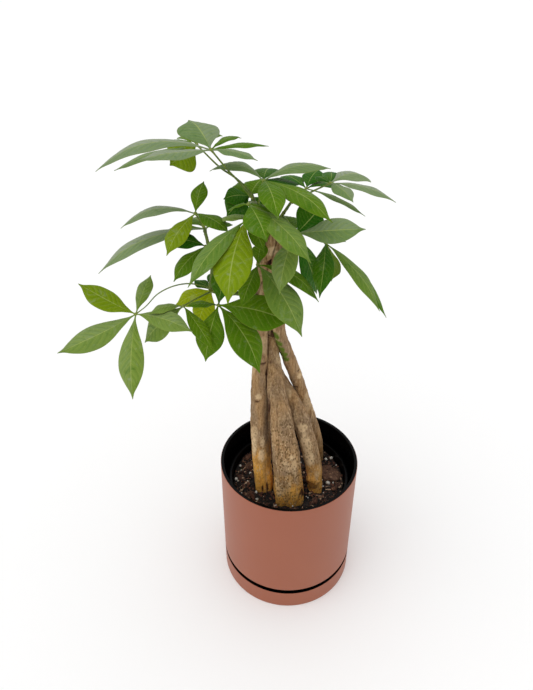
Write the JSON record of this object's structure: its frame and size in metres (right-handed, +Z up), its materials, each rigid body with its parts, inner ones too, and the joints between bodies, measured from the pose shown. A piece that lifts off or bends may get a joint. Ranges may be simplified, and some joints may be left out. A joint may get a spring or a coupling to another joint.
{
  "type": "potted money tree",
  "caption": "Potted money tree: braided trunks under palmate leaves, in a terracotta-coloured cylinder pot with a black inside, on a matching saucer.",
  "frame": {"origin": "on the pot's axis, at the bottom of the saucer", "axes": "+Z up, the pot's axis; +Y to the back, away from the side the picture shows; +X to the right"},
  "size_m": [0.2859, 0.1868, 0.5204],
  "materials": {
    "pot_coat": "smooth satin terracotta colour outside, black inside and on the lip",
    "black_plastic": "thin black grower's pot",
    "potting_mix": "damp dark potting mix with bark chips and perlite",
    "bark": "grey-tan bark, speckled and finely fissured, ochre at the foot",
    "green_shoot": "green young wood",
    "leaf": "smooth green leaf with pale midrib, soft sheen"
  },
  "bodies": {
    "root": {"saucer": "pot_coat", "planter": "pot_coat", "nursery_pot": "black_plastic", "potting_soil": "potting_mix", "trunk_left": "bark", "trunk_front": "bark", "trunk_right": "bark", "trunk_middle": "bark", "trunk_back": "bark", "crown_shoot": "green_shoot", "left_shoot": "green_shoot", "leaf_a": "leaf", "leaf_b": "leaf", "leaf_c": "leaf", "leaf_d": "leaf", "leaf_w": "leaf", "leaf_p": "leaf", "leaf_q": "leaf", "leaf_e": "leaf", "leaf_f": "leaf", "leaf_g": "leaf", "leaf_h": "leaf", "leaf_i": "leaf", "leaf_j": "leaf", "leaf_u": "leaf", "leaf_k": "leaf", "leaf_l": "leaf", "leaf_m": "leaf", "leaf_o": "leaf"}
  },
  "joints": []
}
